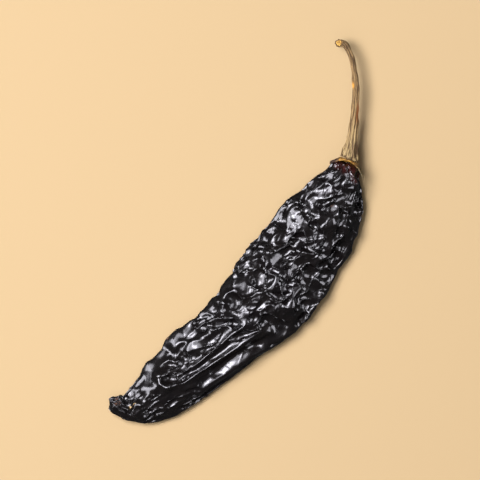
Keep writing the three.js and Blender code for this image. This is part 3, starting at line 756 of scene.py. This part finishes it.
def calyx_rings():
    """Rings of the calyx, from the middle of its top, round its edge, to the middle underneath."""
    ripple = waves(RUMPLES["wave"], random_from(SEEDS["rumples"]))
    crinkle = waves(CRINKLES["wave"], random_from(SEEDS["crinkles"]))
    angle = 2 * math.pi * np.arange(CALYX_SIDES) / CALYX_SIDES
    rim = rim_at(angle)
    out = np.cos(angle)[:, None] * ASIDE + np.sin(angle)[:, None] * UPRIGHT
    layers = [(0, share) for share in CAP_TOP] + list(CAP_EDGE) + [(1, share) for share in CAP_BOTTOM]
    rings = []
    for under, share in layers:
        radius = share * rim
        flat = CALYX_AT + out * radius[:, None]
        past = np.clip(radius / CROWN - RUMPLE_FROM, 0, 1)
        rumple = np.where(radius > CROWN, RUMPLES["height"] * ripple(flat), 0)
        height = (rumple + CRINKLES["height"] * crinkle(flat)) * past
        ahead = height - drop_at(radius, angle) - under * thick_at(angle)
        rings.append(flat + ahead[:, None] * AHEAD)
    return np.array(rings)


def stem_rings():
    """Rings of the stem, with long flutes and finer fibres, and where each point is on them:
    across, upward and along."""
    knots = waves(KNOTS["wave"], random_from(SEEDS["knots"]))
    fibre = waves(FIBRES["wave"], random_from(SEEDS["fibres"]))
    last = len(STEM) - 1
    angle = 2 * math.pi * np.arange(STEM_SIDES) / STEM_SIDES
    side, top = np.cos(angle), np.sin(angle)
    rings, grain = [], []
    for t in np.linspace(0, last, STEM_RINGS):
        x, y, z, radius = between(STEM, t)
        here, there = between(STEM, max(t - STEM_STEP, 0)), between(STEM, min(t + STEM_STEP, last))
        run = unit(there[:3] - here[:3])
        way = unit(AHEAD + (run - AHEAD) * smooth_step(t / STEM_FOOT))
        up = unit(UPRIGHT - way * way[2])
        right = np.cross(up, way)
        round_ = side[:, None] * right + top[:, None] * up
        middle = np.array((x, y, z))
        flute = FLUTES["depth"] * np.cos(FLUTES["count"] * angle + FLUTES["twist"] * math.sin(t))
        broad = FLUTES["broad_depth"] * np.cos(FLUTES["broad_count"] * angle + t)
        knot = KNOTS["depth"] * knots(middle + radius * round_)
        along = np.full(STEM_SIDES, FIBRES["along"] * t)
        thread = np.column_stack([FIBRES["around"] * side, FIBRES["around"] * top, along])
        size = radius * (1 + flute + broad + knot + FIBRES["depth"] * fibre(thread))
        lean = CUT_SLANT * smooth_step((t - last + CUT_OVER) / CUT_OVER) * size * top
        rings.append(middle + round_ * size[:, None] - way * lean[:, None])
        grain.append(np.column_stack([side, top, np.full(STEM_SIDES, t)]))
    rings = np.array(rings)
    rings[0] -= ((rings[0] - CALYX_AT) @ AHEAD - GAP)[:, None] * AHEAD
    return rings, np.array(grain)


def keep_values(piece, name, values):
    """Stores a number for each point of a piece, for its material. The poles take their ring's."""
    layer = piece.data.attributes.new(name, "FLOAT", "POINT")
    layer.data.foreach_set("value", np.concatenate([values.ravel(), values[0, :1], values[-1, :1]]))


def stem_mark(grain, how):
    """A mark on one side of the stem, from 0 to 1."""
    across, along = grain[..., 0], grain[..., 2]
    inside = np.exp(-(((along - how["at"]) / how["reach"]) ** how["power"]))
    return inside * smooth_step((how["side"] * across - how["start"]) / MARK_BLEND)


def stem_piece():
    rings, grain = stem_rings()
    end = rings[-1]
    middle = end.mean(0)
    run = unit(middle - rings[-CUT_RINGS].mean(0))
    caps = [middle + (end - middle) * share + run * ahead for share, ahead in CUT_END]
    floor = middle + run * CUT_END[-1][1]
    piece = skin_over("stem_look", np.concatenate([rings, caps]), rings[0].mean(0), floor)
    grain = np.concatenate([grain, [grain[-1]] * len(caps)])
    cut = np.zeros(grain.shape[:2])
    cut[-len(caps):] = 1 - np.array(CUT_END)[:, :1]
    keep_values(piece, "across", grain[..., 0])
    keep_values(piece, "upward", grain[..., 1])
    keep_values(piece, "along", grain[..., 2])
    keep_values(piece, "cut", cut)
    keep_values(piece, "spot", stem_mark(grain, SPOT))
    keep_values(piece, "streak", stem_mark(grain, STREAK))
    return piece


def calyx_piece():
    rings = calyx_rings()
    piece = skin_over("calyx_look", rings, rings[0].mean(0), rings[-1].mean(0))
    keep_values(piece, "aside", (rings - CALYX_AT) @ ASIDE / CAP_RADIUS)
    return piece


def pod_piece():
    rings = tuck_under(set_down(pod_lattice()))
    piece = skin_over("pod_look", rings, rings[0].mean(0), rings[-1].mean(0))
    keep_values(piece, "smooth", stiffness(rings, np.zeros(rings.shape[:2]), CRUMPLE_CALM))
    keep_values(piece, "worn", spots(rings, WORN_SPOTS) * on_top(rings))
    keep_values(piece, "pale", spots(rings, PALE_SPOTS) * on_top(rings))
    keep_values(piece, "red", spots(rings, RED_SPOTS))
    return piece


def nodes_of(name):
    """A new material, its node tree and its surface."""
    material = bpy.data.materials.new(name)
    material.use_nodes = True
    tree = material.node_tree
    return material, tree, tree.nodes["Principled BSDF"]


def fill(tree, node, inputs):
    """Fills a node's inputs, each with a value or with another node's output."""
    for name, value in inputs.items():
        if isinstance(value, bpy.types.NodeSocket):
            tree.links.new(value, node.inputs[name])
        else:
            node.inputs[name].default_value = value


def add_node(tree, kind, inputs, **settings):
    node = tree.nodes.new(kind)
    for name, value in settings.items():
        setattr(node, name, value)
    fill(tree, node, inputs)
    return node


def own_place(tree):
    """The object's own coordinates, in metres."""
    return add_node(tree, "ShaderNodeTexCoord", {}).outputs["Object"]


def vector_from(tree, operation, *inputs):
    """A vector worked out from others and from fixed ones."""
    return add_node(tree, "ShaderNodeVectorMath", dict(enumerate(inputs)), operation=operation).outputs[0]


def warped_place(tree, wave, reach):
    """The object's own coordinates, pushed about by noise of this wavelength, in metres."""
    place = own_place(tree)
    inputs = {"Vector": place, "Scale": 1 / wave, "Detail": 1}
    noise = add_node(tree, "ShaderNodeTexNoise", inputs).outputs["Color"]
    push = vector_from(tree, "SUBTRACT", noise, (0.5, 0.5, 0.5))
    pushed = vector_from(tree, "MULTIPLY_ADD", push, (reach, reach, reach), place)
    return vector_from(tree, "MULTIPLY", pushed, MARKS_STRETCH)


def noise_at(tree, place, scale, detail):
    """Noise from 0 to 1."""
    inputs = {"Vector": place, "Scale": scale, "Detail": detail}
    return add_node(tree, "ShaderNodeTexNoise", inputs).outputs["Fac"]


def value_of(tree, name):
    """A number stored with keep_values."""
    return add_node(tree, "ShaderNodeAttribute", {}, attribute_name=name).outputs["Fac"]


def ranged(tree, source, low, high, start=0, end=1, **settings):
    """Turns the values from low to high into those from start to end."""
    inputs = {"Value": source, "From Min": low, "From Max": high, "To Min": start, "To Max": end}
    return add_node(tree, "ShaderNodeMapRange", inputs, **settings).outputs["Result"]


def number_from(tree, operation, first, second):
    """A number worked out from two others."""
    return add_node(tree, "ShaderNodeMath", {0: first, 1: second}, operation=operation).outputs[0]


def mixed(tree, share, first, second):
    """A colour between two, each a colour or a node's output. The share is the second's."""
    inputs = {"Factor": share}
    for socket, colour in ((6, first), (7, second)):
        inputs[socket] = (*colour, 1) if isinstance(colour, tuple) else colour
    return add_node(tree, "ShaderNodeMix", inputs, data_type="RGBA").outputs[2]


def creases(tree, place, size, width):
    """Thin raised lines round cells of this size: 1 on a line, 0 away from it."""
    inputs = {"Vector": place, "Scale": 1 / size}
    cells = add_node(tree, "ShaderNodeTexVoronoi", inputs, feature="DISTANCE_TO_EDGE")
    away = cells.outputs["Distance"]
    return ranged(tree, away, 0, width / size, start=1, end=0, interpolation_type="SMOOTHSTEP")


def add_bump(tree, height, distance, strength, before=None):
    """Bumps of this height in metres, on top of those before."""
    inputs = {"Height": height, "Distance": distance, "Strength": strength}
    if before:
        inputs["Normal"] = before
    return add_node(tree, "ShaderNodeBump", inputs).outputs["Normal"]


def pod_skin():
    """Black and glossy, with fine creases, a red shoulder, a brown crust and two pale specks."""
    material, tree, skin = nodes_of("pod_skin_look")
    place = warped_place(tree, wave=0.006, reach=0.004)
    blotch = noise_at(tree, place, scale=160, detail=2)
    crumb = noise_at(tree, place, scale=1100, detail=3)
    worn = value_of(tree, "worn")
    ripe = number_from(tree, "MULTIPLY", value_of(tree, "red"), ranged(tree, blotch, low=0.35, high=0.55))
    speck = number_from(tree, "MULTIPLY", value_of(tree, "pale"), ranged(tree, crumb, low=0.45, high=0.55))
    crust = mixed(tree, ranged(tree, crumb, low=0.35, high=0.65), *CRUST_COLOURS)
    colour = mixed(tree, blotch, *SKIN_COLOURS)
    colour = mixed(tree, ripe, colour, RED)
    colour = mixed(tree, worn, colour, crust)
    colour = mixed(tree, speck, colour, SPECK)
    gloss = noise_at(tree, place, scale=320, detail=2)
    rough = ranged(tree, gloss, low=0.3, high=0.7, start=0.17, end=0.33)
    worn_rough = ranged(tree, worn, low=0, high=1, start=0, end=0.75)
    strength = ranged(tree, value_of(tree, "smooth"), low=0.1, high=0.8, start=0.8, end=0.05)
    coarse = add_bump(tree, creases(tree, place, size=0.0065, width=0.0008), 0.00014, strength)
    fine = add_bump(tree, creases(tree, place, size=0.003, width=0.0005), 0.00004, strength, coarse)
    grain = noise_at(tree, place, scale=1400, detail=2)
    fill(tree, skin, {
        "Base Color": colour,
        "Roughness": number_from(tree, "MAXIMUM", rough, worn_rough),
        "Coat Roughness": 0.06,
        "Coat Weight": ranged(tree, worn, low=0, high=0.6, start=0.5, end=0),
        "Normal": add_bump(tree, grain, distance=0.00002, strength=0.4, before=fine),
        "Coat Normal": fine,
    })
    return material


def calyx_skin():
    """Dry and mottled: amber, olive to the right and dark brown at the left end."""
    material, tree, skin = nodes_of("calyx_skin_look")
    mottle = noise_at(tree, warped_place(tree, wave=0.002, reach=0.001), scale=900, detail=4)
    patches = ranged(tree, mottle, low=0.35, high=0.65)
    aside = value_of(tree, "aside")
    right = ranged(tree, aside, low=0.5, high=1.1)
    left = ranged(tree, aside, low=-0.75, high=-1.1)
    colour = mixed(tree, right, mixed(tree, patches, *AMBER), mixed(tree, patches, *OLIVE))
    fill(tree, skin, {
        "Base Color": mixed(tree, left, colour, CALYX_BROWN),
        "Roughness": ranged(tree, mottle, low=0.3, high=0.7, start=0.45, end=0.75),
        "Specular IOR Level": 0.25,
        "Normal": add_bump(tree, mottle, distance=0.0003, strength=0.7),
    })
    return material


def stem_bark():
    """Dry bark with dark grooves and fibres, a spot and a streak, and a yellow pith at the cut."""
    material, tree, skin = nodes_of("stem_bark_look")
    along = value_of(tree, "along")
    drawn_out = number_from(tree, "MULTIPLY", along, BARK_STRETCH)
    inputs = {0: value_of(tree, "across"), 1: value_of(tree, "upward"), 2: drawn_out}
    place = add_node(tree, "ShaderNodeCombineXYZ", inputs).outputs[0]
    ridge = noise_at(tree, place, scale=4.5, detail=4)
    fibre = noise_at(tree, place, scale=14, detail=4)
    crumb = noise_at(tree, own_place(tree), scale=1500, detail=2)
    cut = value_of(tree, "cut")
    pith = mixed(tree, ranged(tree, crumb, low=0.4, high=0.6), *PITH)
    colour = mixed(tree, ranged(tree, along, low=1, high=5), BARK_AT_FOOT, BARK)
    colour = mixed(tree, ranged(tree, ridge, low=0.6, high=0.42), colour, BARK_GROOVE)
    colour = mixed(tree, ranged(tree, fibre, low=0.5, high=0.7, end=0.75), colour, BARK_FIBRE)
    colour = mixed(tree, value_of(tree, "streak"), colour, BARK_STREAK)
    colour = mixed(tree, value_of(tree, "spot"), colour, BARK_SPOT)
    colour = mixed(tree, ranged(tree, cut, low=0.02, high=0.1), colour, CUT_RIM)
    colour = mixed(tree, ranged(tree, cut, low=0.2, high=0.36), colour, pith)
    ridges = add_bump(tree, ridge, distance=0.0006, strength=0.8)
    fill(tree, skin, {
        "Base Color": colour,
        "Roughness": ranged(tree, fibre, low=0.3, high=0.7, start=0.6, end=0.85),
        "Specular IOR Level": 0.15,
        "Normal": add_bump(tree, fibre, distance=0.0003, strength=0.7, before=ridges),
    })
    return material


def dress(piece, node, material):
    """Gives a piece its material and puts it in place of a node."""
    piece.data.materials.append(material)
    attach(piece, "root")
    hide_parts(node)


def floor_point(px, py):
    """The floor under a pixel of the photo, in metres."""
    dx = (px - ORIGIN_PIXEL[0]) * MM_PER_PIXEL / MM_PER_METRE
    dy = (ORIGIN_PIXEL[1] - py) * MM_PER_PIXEL / MM_PER_METRE
    return RIGHT * dx + UP * dy


PICTURE_MIDDLE = floor_point(PICTURE_SIZE / 2, PICTURE_SIZE / 2)


def add_floor():
    far = FLOOR_REACH
    mesh = bpy.data.meshes.new("floor")
    mesh.from_pydata([(-far, -far, 0), (far, -far, 0), (far, far, 0), (-far, far, 0)], [], [(0, 1, 2, 3)])
    floor = bpy.data.objects.new("floor", mesh)
    floor.visible_glossy = False
    SCENE.collection.objects.link(floor)
    material, tree, paint = nodes_of("floor_paint")
    fill(tree, paint, {"Base Color": (*FLOOR_COLOUR, 1), "Roughness": 0.9, "Specular IOR Level": 0.1})
    mesh.materials.append(material)


def add_camera():
    """A camera straight above the middle of the picture."""
    camera = bpy.data.cameras.new("camera")
    camera.sensor_width = SENSOR
    half = PICTURE_SIZE / 2 * MM_PER_PIXEL / MM_PER_METRE
    camera.lens = SENSOR / 2 * CAMERA_HEIGHT / half
    holder = bpy.data.objects.new("camera", camera)
    SCENE.collection.objects.link(holder)
    holder.location = PICTURE_MIDDLE + Vector((0, 0, CAMERA_HEIGHT))
    holder.rotation_euler = Matrix((RIGHT, UP, Vector((0, 0, 1)))).transposed().to_euler()
    SCENE.camera = holder


def add_softbox(name, right, up, height, size, power, tint):
    light = bpy.data.lights.new(name, "AREA")
    light.energy = power
    light.color = tint
    light.size = size
    holder = bpy.data.objects.new(name, light)
    SCENE.collection.objects.link(holder)
    holder.location = PICTURE_MIDDLE + RIGHT * right + UP * up + Vector((0, 0, height))
    holder.rotation_euler = (PICTURE_MIDDLE - holder.location).to_track_quat("-Z", "Y").to_euler()
    holder.visible_camera = False
    return holder


def add_lights():
    for light in LIGHTS:
        add_softbox(*light, LIGHT_TINT).visible_glossy = False
    for glint in GLINTS:
        add_softbox(*glint, GLINT_TINT).visible_diffuse = False
    world = bpy.data.worlds.new("studio")
    world.use_nodes = True
    sky = {"Color": (*WORLD_COLOUR, 1), "Strength": WORLD_STRENGTH}
    fill(world.node_tree, world.node_tree.nodes["Background"], sky)
    SCENE.world = world
    SCENE.view_settings.view_transform = "Standard"


add_camera()
add_floor()
add_lights()
dress(pod_piece(), "pod", pod_skin())
dress(calyx_piece(), "calyx", calyx_skin())
dress(stem_piece(), "stem", stem_bark())
